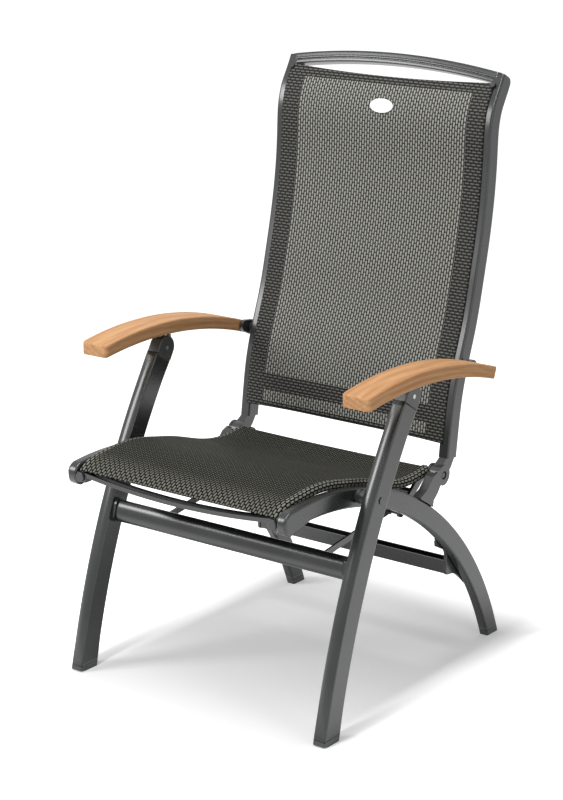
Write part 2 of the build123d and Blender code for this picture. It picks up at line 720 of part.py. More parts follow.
def badge():
    """Bare oval plate near the top of the back sling."""
    where = side_point(badge_height)
    lean = side_lean(badge_height)
    out = (0, -cos(lean), sin(lean))
    start = (0, where[0] + out[1] * (sling_proud + slip_gap), where[1] + out[2] * (sling_proud + slip_gap))
    plane = Plane(origin=start, x_dir=(1, 0, 0), z_dir=out)
    oval = plane * Ellipse(badge_wide / 2, badge_tall / 2)
    save("oval_plate", one_solid(extrude(oval, amount=badge_thickness)))


def side_point(height):
    """Point of the rail's front face at one height."""
    line = side_line(rail_line)
    share = (height - rail_line[0][1]) / (rail_line[-1][1] - rail_line[0][1])
    for _ in range(len(rail_line)):
        point = line @ share
        share = share + (height - point.Z) / line.length
    return (point.Y, point.Z)


def side_lean(height):
    """Lean of the rail's front face from upright at one height."""
    step = badge_thickness
    low = side_point(height - step)
    high = side_point(height + step)
    return atan2(high[0] - low[0], high[1] - low[1])


def end_screws():
    """Screws that go through the flange into the end of an armrest."""
    low = at_y(arm_low_circle, arm_rear_low)
    high = at_y(arm_top_circle, arm_rear_top)
    run = (high[0] - low[0], high[1] - low[1])
    length = sqrt(run[0]**2 + run[1]**2)
    back = (run[1] / length, -run[0] / length)
    centre = middle(low, high)
    start = (centre[0] - back[0] * wood_screw_length, centre[1] - back[1] * wood_screw_length)
    screws = []
    for x in wood_screw_places:
        plane = Plane(origin=(x, start[0], start[1]), z_dir=(0, back[0], back[1]))
        shank = extrude(plane * Circle(wood_screw_radius), amount=wood_screw_length + flange_thickness)
        head = extrude(plane.offset(wood_screw_length + flange_thickness) * Circle(screw_head_radius),
                       amount=screw_head_length)
        screws.append(shank + head)
    return screws


def arm_face():
    """Armrest in side view."""
    top_front = at_y(arm_top_circle, arm_front)
    low_front = at_y(arm_low_circle, arm_front)
    top_rear = at_y(arm_top_circle, arm_rear_top)
    low_rear = at_y(arm_low_circle, arm_rear_low)
    crest = at_y(arm_top_circle, arm_top_circle[0])
    hollow = at_y(arm_low_circle, arm_low_circle[0])
    outline = [ThreePointArc(top_front, crest, top_rear), Line(top_rear, low_rear),
               ThreePointArc(low_rear, hollow, low_front), Line(low_front, top_front)]
    return make_face(outline)


def track_face(low, high, front, back):
    """Stretch between two circles round the arm's underside centre."""
    low_circle = grown(arm_low_circle, low)
    high_circle = grown(arm_low_circle, high)
    halfway = (front + back) / 2
    outline = [ThreePointArc(at_y(high_circle, front), at_y(high_circle, halfway), at_y(high_circle, back)),
               Line(at_y(high_circle, back), at_y(low_circle, back)),
               ThreePointArc(at_y(low_circle, back), at_y(low_circle, halfway), at_y(low_circle, front)),
               Line(at_y(low_circle, front), at_y(high_circle, front))]
    return make_face(outline)


def armrests():
    """Wooden armrests with the notched metal track let into each underside."""
    arm = slab(arm_face(), arm_inner, arm_outer)
    ends = arm.faces().sort_by(Axis.Y)
    upright = [edge for end in (ends[0], ends[-1]) for edge in end.edges().filter_by(Axis.X, reverse=True)]
    arm = fillet(upright, arm_corner_round)
    arm = fillet(arm.faces().sort_by(Axis.Z)[-1].edges(), arm_edge_round)
    recess = slab(track_face(-overrun, track_depth, track_front, track_back), track_inner, track_outer)
    screws = end_screws()
    save_pair("armrest", arm - recess - screws)
    for name, sign in (("left", 1), ("right", -1)):
        pieces = [one_solid(screw) for screw in screws]
        if sign < 0:
            pieces = [mirror(piece, about=Plane.YZ) for piece in pieces]
        save("arm_end_screws_" + name, group(pieces))
    body = slab(track_face(0, track_depth - slip_gap, track_front + slip_gap, track_back - slip_gap),
                track_inner + slip_gap, track_outer - slip_gap)
    room_top = track_depth - slip_gap - track_wall
    room = slab(track_face(-overrun, room_top, track_front + track_wall, track_back - track_wall),
                track_inner + slip_gap + track_wall, track_outer - slip_gap - track_wall)
    body = body - room
    rest_y = notch_pin_point()[0]
    for place in range(notch_count):
        ridge_y = rest_y + notch_pitch / 2 - place * notch_pitch
        ridge_at = at_y(grown(arm_low_circle, room_top), ridge_y)
        body = body + rod(ridge_at, ridge_radius, track_inner + slip_gap + track_wall / 2,
                          track_outer - slip_gap - track_wall / 2)
    keep = track_face(-overrun, track_depth - slip_gap, track_front, track_back)
    body = body & slab(keep, track_inner, track_outer)
    save_pair("arm_track", body)


def notch_pin_point():
    """Rest position of the pin that runs in the arm's track, straight above the leg top for the arm."""
    centre = (arm_low_circle[0], arm_low_circle[1])
    run = (leg_top[0] - centre[0], leg_top[1] - centre[1])
    length = sqrt(run[0]**2 + run[1]**2)
    return (leg_top[0] + run[0] / length * notch_pin_rise, leg_top[1] + run[1] / length * notch_pin_rise)


def slides():
    """Swinging plates on the leg tops with the pins that sit in the arm tracks."""
    pin_at = notch_pin_point()
    face = bar_face(leg_top, pin_at, slide_low_radius, slide_top_radius)
    face = face + bar_face(leg_top, slide_tab, slide_tab_radius, slide_tab_radius)
    body = slab(face, leg_middle - slide_thickness / 2, leg_middle + slide_thickness / 2)
    body = body - rod(leg_top, pivot_bolt_radius + shaft_gap, 0, arm_outer)
    body = body - rod(pin_at, notch_pin_radius, 0, arm_outer)
    save_pair("arm_slide", body)
    half = track_width / 2 - track_wall - 2 * slip_gap
    save_pair("notch_pin", rod(pin_at, notch_pin_radius, leg_middle - half, leg_middle + half))


def arm_brackets():
    """Blocks, flanges and pins that hang the armrests on the back rails."""
    hinge_outer = rail_outer + side_gap + hinge_block_thickness
    face = bar_face(arm_pivot, arm_block_reach, arm_block_radius, arm_block_reach_radius)
    block = slab(face, hinge_outer + side_gap, arm_block_outer)
    low = at_y(arm_low_circle, arm_rear_low)
    high = at_y(arm_top_circle, arm_rear_top)
    run = (high[0] - low[0], high[1] - low[1])
    length = sqrt(run[0]**2 + run[1]**2)
    back = (run[1] / length, -run[0] / length)
    corners = (low, high, (high[0] + back[0] * flange_thickness, high[1] + back[1] * flange_thickness),
               (low[0] + back[0] * flange_thickness, low[1] + back[1] * flange_thickness))
    flange = slab(polygon(corners), arm_block_outer - overrun, flange_outer)
    body = block + flange - slab(arm_face(), arm_inner - overrun, arm_outer)
    body = body - rod(arm_pivot, arm_pin_radius + shaft_gap, 0, arm_outer)
    save_pair("arm_bracket", body - end_screws())
    head_start = arm_block_outer + side_gap
    pin = rod(arm_pivot, arm_pin_radius, groove_middle, head_start)
    pin = pin + rod(arm_pivot, bolt_head_radius, head_start, head_start + pin_head_length)
    save_pair("arm_pivot_pin", pin)
    hinge_block = tube(arm_pivot, hinge_block_radius, arm_pin_radius, rail_outer + side_gap, hinge_outer)
    edge = hinge_block.faces().sort_by(Axis.X)[-1].outer_wire().edges()
    save_pair("arm_hinge_block", chamfer(edge, pin_head_length / 2))


def corner_plug(gap):
    """Round plug on a rail's front face at the sling's upper corner, with a gap all round it."""
    where = side_point(corner_plug_height)
    lean = side_lean(corner_plug_height)
    out = (0, -cos(lean), sin(lean))
    plane = Plane(origin=(groove_middle, where[0], where[1]), x_dir=(1, 0, 0), z_dir=out)
    return extrude(plane.offset(-gap) * Circle(corner_plug_radius + gap), amount=corner_plug_length + 2 * gap)


def sling_plugs():
    """Plugs that close the rails' grooves beside the sling's upper corners."""
    save_both("corner_plugs", [corner_plug(0)])


rear_legs()
rear_channel()
front_bow()
seat_rails()
seat_sling()
hinge_brackets()
leg_pivots()
front_legs()
cross_tube()
straps()
fold_yoke()
back_frame()
back_sling()
badge()
armrests()
slides()
arm_brackets()
sling_plugs()
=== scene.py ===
from math import cos, pi, radians, sin, sqrt

import bpy
import numpy as np
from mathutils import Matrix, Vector


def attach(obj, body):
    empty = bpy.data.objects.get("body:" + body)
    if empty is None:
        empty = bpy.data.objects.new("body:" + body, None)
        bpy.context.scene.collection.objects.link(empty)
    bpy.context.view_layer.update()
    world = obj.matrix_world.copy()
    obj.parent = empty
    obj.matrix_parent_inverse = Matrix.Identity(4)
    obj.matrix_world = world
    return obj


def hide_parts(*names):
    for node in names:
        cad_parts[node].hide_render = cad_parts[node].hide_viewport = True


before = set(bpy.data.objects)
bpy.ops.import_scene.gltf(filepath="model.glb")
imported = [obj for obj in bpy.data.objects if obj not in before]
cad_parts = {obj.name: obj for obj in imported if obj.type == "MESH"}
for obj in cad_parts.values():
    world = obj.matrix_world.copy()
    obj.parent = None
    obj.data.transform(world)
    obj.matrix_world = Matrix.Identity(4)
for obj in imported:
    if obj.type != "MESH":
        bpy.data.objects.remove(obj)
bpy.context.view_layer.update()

# Folding garden chair. Metres in the scene; the chair's own sizes are in millimetres and scaled here.
# Side-view points are (y, z). The sitter faces -Y and the sitter's left hand is +X.
mm = 0.001

# Sizes shared with the frame
arch_top_circle = (-262.0, -213.0, 651.0)
arch_low_circle = (-271.0, -222.0, 626.0)
arch_nose = ((-334.0, 390.0), (-353.2, 409.0))
arch_nose_back = -334.0
arch_low_start = -279.0
arch_round = 4.0
arch_width = (227.0, 247.0)
leg_points = ((-281.5, -2.0), (-164.5, 353.0), (-37.0, 579.0))
leg_width = (270.0, 296.0)
leg_depth = 46.0
leg_round = 3.0
leg_bulge = 3.2
leg_swell = 1.2
leg_fade = 50
cap_joint = 18.0
foot_height = 10.0
rail_line = ((156.5, 405.0), (160.5, 434.0), (173.0, 514.0), (196.0, 591.0), (217.0, 648.0),
             (238.0, 725.0), (256.5, 803.0), (270.0, 881.0), (276.5, 959.0), (281.0, 1017.0),
             (294.0, 1055.0), (320.5, 1098.0))
rail_width = (223.0, 245.0)
rail_depth = 32.0
rail_round = 3.4
rail_top = ((294.0, 1055.0), (311.5, 1084.0), (322.7, 1105.0))
rail_top_round = 12.0
bar_outline = ((-15, 11), (15, 11), (15, -11), (-14.6, -11), (-14.6, -3.6), (-11.5, -3.6), (-11.5, -1.8),
               (-15.6, -1.8), (-15.6, 1.4), (-14.8, 2.2))
bar_easing = (4.5, 7, 7, 3, 0.7, 0.5, 0.5, 1.1, 1.1, 0.4)
bar_middle = (333.0, 1109.5)
bar_end_height = 1089.5
bar_half = 245.0
bar_reach = 236.0
bar_lean = radians(20)
seat_line = ((-342.0, 416.5), (-324.0, 428.5), (-287.0, 436.5), (-241.0, 440.5), (-194.0, 438.5),
             (-137.0, 427.5), (-87.0, 416.0), (0.0, 389.5), (60.0, 380.5), (124.0, 385.0))
seat_rail_middle = 217.6
seat_rail_radius = 7.5
seat_cloth_gap = 0.65
seat_sag = 3.0
seat_rim = 213.0
back_ends = (431.0, 1080.0)
back_half_width = 231.0
back_hollow = 3.0
back_hollow_half = 222.0
back_corner_rise = 8.0
back_middle_rise = 4.0
back_panel_half = 193.0
back_panel_low = (13.0, 35.0)
back_panel_start = 67.0
back_panel_top_gap = 16.0
cloth_thickness = 1.0
arm_top_circle = (-74.0, -191.0, 824.0)
arm_low_circle = (-80.0, -279.0, 886.0)
arm_width = (265.0, 326.0)
arm_front = -218.0
arm_rear_top = 195.0
arm_rear_low = 187.0
arm_corner_round = 8.0
arm_edge_round = 3.0
tube_middle = (-192.0, 295.0)
tube_half_length = 272.0
tube_half_deep = 12.0
tube_half_tall = 21.0
tube_lean = radians(-15.5)
channel_end_line = ((144.0, 246.0), (158.0, 233.0), (176.0, 219.0), (187.0, 206.0), (188.3, 190.0),
                    (188.3, 172.0), (189.5, 161.5), (200.0, 158.5), (214.0, 156.0), (228.0, 149.0),
                    (240.0, 138.5), (251.0, 126.0))
channel_end_thickness = 6.6
channel_end_inside = 8.0
channel_end_round = 1.5
arm_pivot = (208.0, 573.0)
hinge_boss = (245.3, 255.3)
hinge_boss_radius = 11.0
hinge_boss_round = 2.0


# Lines in side view
def circle_through(first, second, third):
    """Centre and radius of the circle through three points: its centre is as far from each of them."""
    first, second, third = (np.asarray(point, float) for point in (first, second, third))
    rows = 2 * np.array([second - first, third - first])
    right = np.array([second @ second - first @ first, third @ third - first @ first])
    centre = np.linalg.solve(rows, right)
    return centre, np.hypot(*(first - centre))


def angle_at(centre, point):
    """Angle of a point seen from a centre."""
    return np.arctan2(point[1] - centre[1], point[0] - centre[0])


def round_arc(centre, radius, start, end, shares):
    """Points of a circle between two angles, at the given shares of the way."""
    angle = start + (end - start) * shares
    return np.stack([centre[0] + radius * np.cos(angle), centre[1] + radius * np.sin(angle)], 1)


def on_circle(circle, y=None, z=None):
    """Upper point of a circle at one y, or its rear point at one z."""
    centre_y, centre_z, radius = circle
    if z is None:
        return np.array([y, centre_z + sqrt(radius ** 2 - (y - centre_y) ** 2)])
    return np.array([centre_y + sqrt(radius ** 2 - (z - centre_z) ** 2), z])


def flowing_line(points, count):
    """Smooth line through points: a cubic in the run between each two, with slopes that make the bend
    even."""
    points = np.asarray(points, float)
    steps = np.hypot(*np.diff(points, axis=0).T)
    knots = np.concatenate([[0], np.cumsum(steps)])
    size = len(points)
    rows = np.zeros((size, size))
    right = np.zeros((size, 2))
    inner = np.arange(1, size - 1)
    rows[inner, inner - 1] = steps[:-1]
    rows[inner, inner] = 2 * (steps[:-1] + steps[1:])
    rows[inner, inner + 1] = steps[1:]
    slope = np.diff(points, axis=0) / steps[:, None]
    right[inner] = 6 * np.diff(slope, axis=0)
    rows[0, 0] = rows[-1, -1] = 1
    bend = np.linalg.solve(rows, right)
    at = np.linspace(0, knots[-1], count)
    run = np.clip(np.searchsorted(knots, at, side="right") - 1, 0, size - 2)
    past = (at - knots[run])[:, None]
    step = steps[run][:, None]
    lead = slope[run] - step * (2 * bend[run] + bend[run + 1]) / 6
    curl = (bend[run + 1] - bend[run]) / (6 * step)
    return points[run] + lead * past + bend[run] * past ** 2 / 2 + curl * past ** 3


def lengths_along(line):
    """Distance along a line at each of its points."""
    return np.concatenate([[0], np.cumsum(np.linalg.norm(np.diff(line, axis=0), axis=1))])


def at_lengths(line, distances):
    """Points of a line at given distances along it."""
    along = lengths_along(line)
    return np.stack([np.interp(distances, along, column) for column in line.T], 1)


def edge_fall(distance, radius):
    """How far a rounded edge has fallen at a distance in from the end: a quarter circle."""
    left = radius - np.minimum(distance, radius)
    return radius - np.sqrt(np.maximum(radius ** 2 - left ** 2, 0))


def stations(length, start_round, end_round, count):
    """Distances along a bar, close together over its rounded ends."""
    turn = 1 - np.cos(np.linspace(0, pi / 2, 7))
    start = start_round * turn
    end = length - (end_round * turn)[::-1]
    middle = np.linspace(start_round, length - end_round, count)[1:-1]
    return np.concatenate([start, middle, end])


# Meshes
def soft_ring(half_width, half_depth, radius, steps=5):
    """Rounded rectangles, one for each row: four quarter circles with a point on the flats beside each."""
    half_width, half_depth, radius = (np.atleast_1d(np.asarray(size, float))[:, None] for size in
                                      (half_width, half_depth, radius))
    radius = np.minimum(radius, np.minimum(half_width, half_depth) * 0.98)
    turn = np.linspace(0, pi / 2, steps)
    corner = np.concatenate([turn[:1], turn, turn[-1:]])
    angle = np.concatenate([quarter * pi / 2 + corner for quarter in range(4)])
    corner_x = np.repeat([1, -1, -1, 1], steps + 2)
    corner_y = np.repeat([1, 1, -1, -1], steps + 2)
    ease = np.zeros(len(angle))
    ease[::steps + 2] = -1
    ease[steps + 1::steps + 2] = 1
    shift = np.minimum(radius * 0.5, np.minimum(half_width, half_depth) - radius)
    across = corner_x * (half_width - radius) + radius * np.cos(angle) - ease * np.sin(angle) * shift
    along = corner_y * (half_depth - radius) + radius * np.sin(angle) + ease * np.cos(angle) * shift
    return across, along


def eased_outline(corners, cut, steps=5):
    """Closed outline whose corners are eased: from a point just before each to one just after it runs the
    curve (1-t)^2 before + 2t(1-t) corner + t^2 after."""
    corners, cut = np.asarray(corners, float), np.asarray(cut, float)[:, None]
    back, ahead = np.roll(corners, 1, axis=0) - corners, np.roll(corners, -1, axis=0) - corners
    before = corners + back / np.linalg.norm(back, axis=1)[:, None] * cut
    after = corners + ahead / np.linalg.norm(ahead, axis=1)[:, None] * cut
    t = np.linspace(0, 1, steps)[None, :, None]
    curve = (1 - t) ** 2 * before[:, None] + 2 * t * (1 - t) * corners[:, None] + t ** 2 * after[:, None]
    return curve.reshape(-1, 2)


def mesh_piece(name, points, faces, body, finish, slot, spread=None, hides=()):
    """New piece from points in millimetres and faces, turned right side out by the sign of its volume."""
    points = np.asarray(points, float).reshape(-1, 3) * mm
    faces = np.asarray(faces)
    if spread is None:
        corner = points[faces]
        volume = 0
        for second in range(1, faces.shape[1] - 1):
            across = np.cross(corner[:, second], corner[:, second + 1])
            volume += np.einsum("ij,ij->i", corner[:, 0], across).sum()
        if volume < 0:
            faces = faces[:, ::-1]
    mesh = bpy.data.meshes.new(name)
    mesh.from_pydata(points, [], [[int(v) for v in dict.fromkeys(face)] for face in faces])
    mesh.update()
    mesh.shade_smooth()
    if spread is not None:
        layer = mesh.uv_layers.new(name="cloth")
        corners = np.empty(len(mesh.loops), int)
        mesh.loops.foreach_get("vertex_index", corners)
        layer.data.foreach_set("uv", (np.asarray(spread, float).reshape(-1, 2) * mm)[corners].ravel())
    piece = bpy.data.objects.new(name, mesh)
    bpy.context.scene.collection.objects.link(piece)
    piece.data.materials.append(finish)
    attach(piece, body)
    if hides:
        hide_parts(*hides)
    return piece


def shell_faces(rows, ring, base=0):
    """Faces of a closed tube of rings, with a fan to a middle point at each end."""
    row = np.arange(rows - 1)[:, None] * ring
    here = np.arange(ring)[None, :]
    after = (here + 1) % ring
    walls = np.stack([row + here, row + after, row + ring + after, row + ring + here], -1).reshape(-1, 4)
    first, last = rows * ring, rows * ring + 1
    side = np.arange(ring)
    near = np.stack([np.full(ring, first), (side + 1) % ring, side, side], 1)
    end = (rows - 1) * ring
    far = np.stack([np.full(ring, last), end + side, end + (side + 1) % ring, end + (side + 1) % ring], 1)
    return np.concatenate([walls, near, far]) + base


def closed_shell(rings):
    """Rings with a smaller ring inside each end one and a middle point, and the faces between them."""
    rings = np.asarray(rings, float)
    first, last = rings[0].mean(0), rings[-1].mean(0)
    near = first + (rings[0] - first) * 0.9
    far = last + (rings[-1] - last) * 0.9
    rings = np.concatenate([near[None], rings, far[None]])
    points = np.concatenate([rings.reshape(-1, 3), [first, last]])
    return points, shell_faces(len(rings), rings.shape[1])


def side_rings(upper, lower, width, radius, side_inset=0, top_inset=0, low_inset=0):
    """Rings between two side-view lines: a rounded rectangle whose depth runs from the lower line to the
    upper one."""
    run = upper - lower
    depth = np.linalg.norm(run, axis=1)
    up = run / np.maximum(depth, 1e-6)[:, None]
    upper = upper - up * np.broadcast_to(top_inset, depth.shape)[:, None]
    lower = lower + up * np.broadcast_to(low_inset, depth.shape)[:, None]
    half_depth = np.maximum(np.einsum("ij,ij->i", upper - lower, up) / 2, 0.05)
    half_width = (width[1] - width[0]) / 2 - np.broadcast_to(side_inset, depth.shape)
    across, along = soft_ring(half_width, half_depth, np.broadcast_to(radius, depth.shape))
    centre = (upper + lower) / 2
    x = (width[0] + width[1]) / 2 + across
    yz = centre[:, None, :] + along[..., None] * up[:, None, :]
    return np.concatenate([x[..., None], yz], -1)


def mirrored(rings):
    """The same rings on the sitter's right."""
    return rings * np.array([-1, 1, 1])


def pair(name, rings, bodies, finish, slot, hides):
    """One piece on each side of the chair."""
    made = []
    for side, shape, body in (("left", rings, bodies[0]), ("right", mirrored(rings), bodies[1])):
        points, faces = closed_shell(shape)
        made.append(mesh_piece(name + "_" + side, points, faces, body, finish, slot,
                               hides=[node + "_" + side for node in hides]))
    return made


# Finishes
class Wire:
    """One worked-out number of a finish. Sums and products of it add the nodes that work them out."""

    def __init__(self, recipe, socket):
        self.recipe, self.socket = recipe, socket

    def __add__(self, other):
        return self.recipe.math("ADD", self, other)

    def __sub__(self, other):
        return self.recipe.math("SUBTRACT", self, other)

    def __rsub__(self, other):
        return self.recipe.math("SUBTRACT", other, self)

    def __mul__(self, other):
        return self.recipe.math("MULTIPLY", self, other)

    def __truediv__(self, other):
        return self.recipe.math("DIVIDE", self, other)

    def __pow__(self, other):
        return self.recipe.math("POWER", self, other)

    __radd__ = __add__
    __rmul__ = __mul__

    def part(self):
        """What is left of it over the last whole number."""
        return self.recipe.math("FRACT", self)

    def whole(self):
        return self.recipe.math("FLOOR", self)

    def size(self):
        return self.recipe.math("ABSOLUTE", self)

    def wave(self):
        return self.recipe.math("SINE", self)

    def most(self, other):
        return self.recipe.math("MAXIMUM", self, other)

    def over(self, low, high):
        """Climbs from 0 at one value to 1 at another, softly."""
        return self.recipe.climb(self, low, high)


class Recipe:
    """The making of one finish: every call adds a node and hands back what it gives."""

    def __init__(self, name):
        self.finish = bpy.data.materials.new(name)
        self.finish.use_nodes = True
        self.tree = self.finish.node_tree
        self.shader = self.tree.nodes["Principled BSDF"]
        self.coords = self.tree.nodes.new("ShaderNodeTexCoord")

    def plug(self, socket, value):
        if isinstance(value, Wire):
            value = value.socket
        if isinstance(value, bpy.types.NodeSocket):
            self.tree.links.new(value, socket)
        else:
            socket.default_value = value

    def math(self, operation, first, second=None):
        node = self.tree.nodes.new("ShaderNodeMath")
        node.operation = operation
        self.plug(node.inputs[0], first)
        if second is not None:
            self.plug(node.inputs[1], second)
        return Wire(self, node.outputs[0])

    def climb(self, value, low, high):
        node = self.tree.nodes.new("ShaderNodeMapRange")
        node.interpolation_type = "SMOOTHSTEP"
        self.plug(node.inputs["Value"], value)
        start, end = (low, high) if low < high else (high, low)
        node.inputs["From Min"].default_value = start
        node.inputs["From Max"].default_value = end
        node.inputs["To Min"].default_value = 0 if low < high else 1
        node.inputs["To Max"].default_value = 1 if low < high else 0
        return Wire(self, node.outputs["Result"])

    def place(self, scale=(1, 1, 1)):
        """Where a point is on the chair, scaled along each axis."""
        node = self.tree.nodes.new("ShaderNodeMapping")
        self.tree.links.new(self.coords.outputs["Object"], node.inputs["Vector"])
        node.inputs["Scale"].default_value = scale
        return node.outputs[0]

    def axes(self, vector=None):
        node = self.tree.nodes.new("ShaderNodeSeparateXYZ")
        self.tree.links.new(vector or self.coords.outputs["Object"], node.inputs[0])
        return [Wire(self, socket) for socket in node.outputs]

    def gather(self, x, y, z):
        """A place made of three worked-out numbers."""
        node = self.tree.nodes.new("ShaderNodeCombineXYZ")
        for socket, value in zip(node.inputs, (x, y, z)):
            self.plug(socket, value)
        return node.outputs[0]

    def cloth_axes(self):
        node = self.tree.nodes.new("ShaderNodeUVMap")
        node.uv_map = "cloth"
        return self.axes(node.outputs[0])[:2], node.outputs[0]

    def noise(self, vector, scale, detail=2.0, roughness=0.5):
        node = self.tree.nodes.new("ShaderNodeTexNoise")
        self.tree.links.new(vector, node.inputs["Vector"])
        node.inputs["Scale"].default_value = scale
        node.inputs["Detail"].default_value = detail
        node.inputs["Roughness"].default_value = roughness
        return Wire(self, node.outputs["Fac"])

    def blend(self, share, first, second):
        node = self.tree.nodes.new("ShaderNodeMix")
        node.data_type = "RGBA"
        self.plug(node.inputs["Factor"], share)
        for socket, value in ((node.inputs[6], first), (node.inputs[7], second)):
            self.plug(socket, (*value, 1) if isinstance(value, tuple) else value)
        return node.outputs[2]

    def shine(self, level):
        """How strongly the finish mirrors when seen face on."""
        self.shader.inputs["Specular IOR Level"].default_value = level

    def bump(self, height, strength, distance):
        node = self.tree.nodes.new("ShaderNodeBump")
        node.inputs["Strength"].default_value = strength
        node.inputs["Distance"].default_value = distance
        self.plug(node.inputs["Height"], height)
        self.tree.links.new(node.outputs[0], self.shader.inputs["Normal"])

    def set(self, **values):
        for key, value in values.items():
            self.plug(self.shader.inputs[key.replace("_", " ")], value)


def written(red, green, blue):
    """Colour as it shows on a screen, from 0 to 255, in the renderer's own scale."""
    shares = np.array([red, green, blue]) / 255
    linear = np.where(shares <= 0.04045, shares / 12.92, ((shares + 0.055) / 1.055) ** 2.4)
    return tuple(float(share) for share in linear)


def baked_coat(name, dark, pale, rough):
    """Baked satin coat: two close greys in slow clouds, with a fine orange-peel grain."""
    recipe = Recipe(name)
    spot = recipe.place()
    clouds = recipe.noise(spot, 14, 3)
    grain = recipe.noise(spot, 900, 2, 0.6)
    flake = recipe.noise(spot, 2600, 1, 0.5)
    tone = (clouds * 0.55 + flake * 0.45).over(0.35, 0.68)
    smoothest = rough - 0.08
    recipe.set(Base_Color=recipe.blend(tone, written(*dark), written(*pale)), Metallic=0.0,
               Roughness=grain * 0.10 + clouds * 0.06 + smoothest)
    recipe.shine(0.62)
    recipe.bump(grain, 0.06, 0.0003)
    return recipe.finish


wood_curve_middle = (77 * mm, 235 * mm)


def teak():
    """Oiled teak with its grain along the armrest's curve: rings, noise drawn out along the curve, fine dark
    pores and a warm drift. The height in the wood is the distance from the middle of the curve."""
    recipe = Recipe("oiled_teak")
    drift = recipe.noise(recipe.place((9, 1.6, 9)), 2.4, 3)
    x, y, z = recipe.axes()
    behind, above = y + wood_curve_middle[0], z + wood_curve_middle[1]
    height = (behind * behind + above * above) ** 0.5
    rings = ((x * 46 + height * 90 + drift * 3.2) * (2 * pi)).wave() * 0.5 + 0.5
    streaks = recipe.noise(recipe.gather(x * 260, y * 7, height * 260), 1, 4, 0.62)
    pores = recipe.noise(recipe.gather(x * 900, y * 26, height * 900), 1, 2, 0.5)
    tone = rings * 0.18 + streaks * 0.70 + drift * 0.20
    wood = recipe.blend(tone.over(0.30, 0.78), written(206, 160, 116), written(180, 130, 87))
    wood = recipe.blend(pores.over(0.55, 0.74) * 0.35, wood, written(138, 88, 50))
    recipe.set(Base_Color=wood, Roughness=streaks * 0.22 + 0.48)
    recipe.shine(0.2)
    recipe.bump(streaks * 0.6 - pores * 0.5, 0.25, 0.0004)
    return recipe.finish


def pill(across, along, half_across, half_along):
    """How far out a point is in a soft oblong: 0 in its middle and 1 on its edge."""
    return (across.size() / half_across) ** 3 + (along.size() / half_along) ** 3


def thread_field(u, v, pitch, period, half_across, half_along):
    """Threads in columns: each shows as a row of oblongs, and every second column is shifted by half."""
    column = u / pitch
    odd = (column.whole() / 2).part() * 2
    across = column.part() - 0.5
    along = (v / period + odd * 0.5).part() - 0.5
    return pill(across, along, half_across, half_along)


stitch_length = 11.5 * mm
back_column = 5.8 * mm
band_column = 5.9 * mm
seat_column = 5.85 * mm
seat_rib = 2 * seat_column
band_edge = 0.2 * mm
rim_edge = 0.4 * mm
seat_front_fade = (70 * mm, 8 * mm)


def woven_cloth(name, across_panel, length_panel, pale, deep, edge_pale, edge_deep):
    """Woven mesh cloth: long threads inside a panel, and cross threads in the bands round it."""
    recipe = Recipe(name)
    (u, v), spot = recipe.cloth_axes()
    fibre = recipe.noise(spot, 1400, 2, 0.6)
    drift = recipe.noise(spot, 9, 3)
    wear = fibre * 0.5 + 0.72
    long_thread = thread_field(u, v, back_column, stitch_length, 0.34, 0.44)
    cross_thread = thread_field(v, u, band_column, stitch_length, 0.26, 0.42)
    lengthwise = [v.over(low - band_edge, low + band_edge) * v.over(high + band_edge, high - band_edge)
                  for low, high in length_panel]
    inside = u.size().over(across_panel + band_edge, across_panel - band_edge) * sum(lengthwise)
    long_face = long_thread.over(1.25, 0.45)
    cross_face = cross_thread.over(1.25, 0.45)
    panel = recipe.blend(long_face * wear, written(*deep), written(*pale))
    edge = recipe.blend(cross_face * wear, written(*edge_deep), written(*edge_pale))
    face = recipe.blend(inside, edge, panel)
    recipe.set(Base_Color=face, Roughness=fibre * 0.2 + drift * 0.1 + 0.5)
    recipe.shine(0.2)
    relief = inside * (1 - long_thread).most(0) + (1 - inside) * (1 - cross_thread).most(0)
    recipe.bump(relief + fibre * 0.15, 0.9, 0.0009)
    return recipe.finish


def ribbed_cloth(name, half_width):
    """Seat cloth: columns of short threads, every second one shifted by half, so that they line up in
    slanting ribs. Single threads stand out along the front edge, and most of all in a rim on each side."""
    recipe = Recipe(name)
    (u, v), spot = recipe.cloth_axes()
    fibre = recipe.noise(spot, 1400, 2, 0.6)
    drift = recipe.noise(spot, 9, 3)
    wear = fibre * 0.4 + 0.8
    thread = thread_field(u, v, seat_column, stitch_length, 0.36, 0.40)
    stitches = thread.over(1.3, 0.4)
    rib = ((u / seat_rib - v / stitch_length) * (2 * pi)).wave() * 0.5 + 0.5
    front = v.over(*seat_front_fade)
    rim = u.size().over(half_width - rim_edge, half_width + rim_edge)
    tone = stitches * (front * 0.45 + 0.55) * (rib * (1.4 - front * 1.2) + 0.3 + front * 0.6)
    web = recipe.blend(tone * wear, written(16, 16, 14), written(112, 112, 104))
    edge = recipe.blend(stitches * wear, written(10, 10, 9), written(130, 130, 122))
    recipe.set(Base_Color=recipe.blend(rim, web, edge), Roughness=fibre * 0.2 + drift * 0.1 + 0.5)
    recipe.shine(0.03)
    recipe.bump((1 - thread).most(0) + fibre * 0.15, 0.8, 0.0008)
    return recipe.finish


def moulded_plastic(name, colour, rough):
    """Moulded plastic with a fine spark-eroded grain."""
    recipe = Recipe(name)
    spot = recipe.place()
    grain = recipe.noise(spot, 1700, 2, 0.6)
    clouds = recipe.noise(spot, 30, 2)
    dark = tuple(share * 0.8 for share in written(*colour))
    recipe.set(Base_Color=recipe.blend(clouds.over(0.35, 0.7), dark, written(*colour)),
               Roughness=grain * 0.12 + rough)
    recipe.bump(grain, 0.12, 0.0003)
    return recipe.finish


